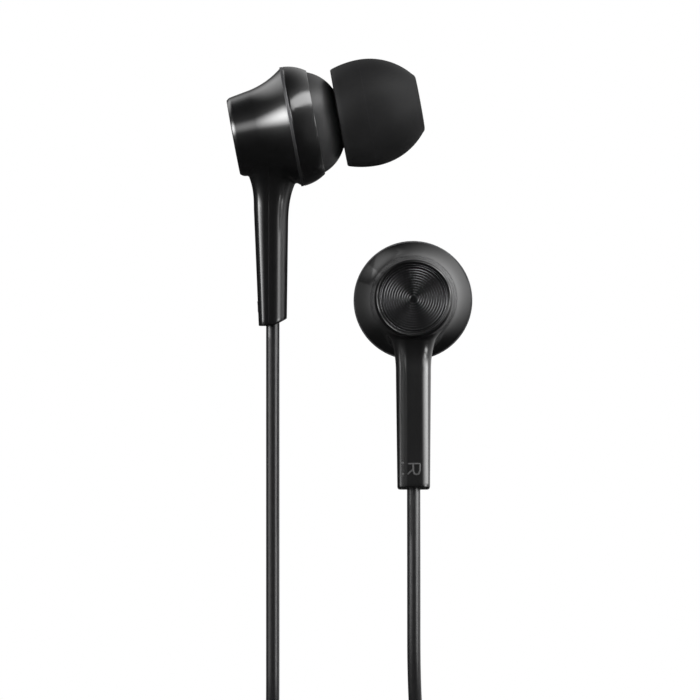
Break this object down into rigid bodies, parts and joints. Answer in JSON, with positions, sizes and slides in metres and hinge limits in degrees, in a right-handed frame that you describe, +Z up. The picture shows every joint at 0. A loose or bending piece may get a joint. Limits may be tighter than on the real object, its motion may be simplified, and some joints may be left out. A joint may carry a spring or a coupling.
{
  "type": "wired earphones",
  "caption": "Wired in-ear earphones with slanted horn-shaped earbuds, straight stems, soft tips, branch cords, splitter, wound spare cord and plug.",
  "frame": {"origin": "where the left ear grips the widest part of the left ear tip", "axes": "+Z up, +Y away from the viewer of the left earbud's side, +X the way the left ear tip points, seen from above"},
  "size_m": [0.0308, 0.0871, 0.0901],
  "materials": {
    "housing_plastic": "gloss black",
    "dome_plastic": "satin black",
    "disc_metal": "turned, dark",
    "belt_metal": "satin grey",
    "tip_silicone": "matte black",
    "mesh_steel": "woven",
    "driver_steel": "plain",
    "magnet_nickel": "plated",
    "coil_copper": "enamelled wire",
    "diaphragm_film": "thin film",
    "board_green": "coated board",
    "crimp_brass": "plain",
    "cord_jacket": "soft satin black",
    "grip_plastic": "satin black",
    "contact_metal": "plated",
    "insulator_plastic": "plain black",
    "tie_plastic": "matt black"
  },
  "bodies": {
    "earphones": {"cord_tie": "tie_plastic", "left_back_disc": "disc_metal", "left_belt_ring": "belt_metal", "left_branch_cord": "cord_jacket", "left_branch_hank": "cord_jacket", "left_cord_crimp": "crimp_brass", "left_diaphragm": "diaphragm_film", "left_driver_frame": "driver_steel", "left_driver_guard": "driver_steel", "left_front_band": "housing_plastic", "left_magnet": "magnet_nickel", "left_magnet_yoke": "driver_steel", "left_nozzle_dome": "dome_plastic", "left_nozzle_mesh": "mesh_steel", "left_pole_plate": "driver_steel", "left_rear_housing": "housing_plastic", "left_stem_cover": "housing_plastic", "left_terminal_board": "board_green", "left_voice_coil": "coil_copper", "main_cord_hank": "cord_jacket", "plug_front_insulator": "insulator_plastic", "plug_grip": "grip_plastic", "plug_rear_insulator": "insulator_plastic", "plug_ring": "contact_metal", "plug_sleeve": "contact_metal", "plug_tip": "contact_metal", "right_back_disc": "disc_metal", "right_belt_ring": "belt_metal", "right_branch_cord": "cord_jacket", "right_branch_hank": "cord_jacket", "right_cord_crimp": "crimp_brass", "right_diaphragm": "diaphragm_film", "right_driver_frame": "driver_steel", "right_driver_guard": "driver_steel", "right_front_band": "housing_plastic", "right_magnet": "magnet_nickel", "right_magnet_yoke": "driver_steel", "right_nozzle_dome": "dome_plastic", "right_nozzle_mesh": "mesh_steel", "right_pole_plate": "driver_steel", "right_rear_housing": "housing_plastic", "right_stem_cover": "housing_plastic", "right_terminal_board": "board_green", "right_voice_coil": "coil_copper", "y_splitter": "grip_plastic"},
    "left_tip": {"left_ear_tip": "tip_silicone"},
    "right_tip": {"right_ear_tip": "tip_silicone"}
  },
  "joints": [
    {"name": "left_tip_slide", "type": "slide", "parent": "earphones", "child": "left_tip", "axis": [0.9833, 0, 0.1822], "range_m": [0, 0.008]},
    {"name": "right_tip_slide", "type": "slide", "parent": "earphones", "child": "right_tip", "axis": [0, 0.9997, -0.0227], "range_m": [0, 0.008]}
  ]
}
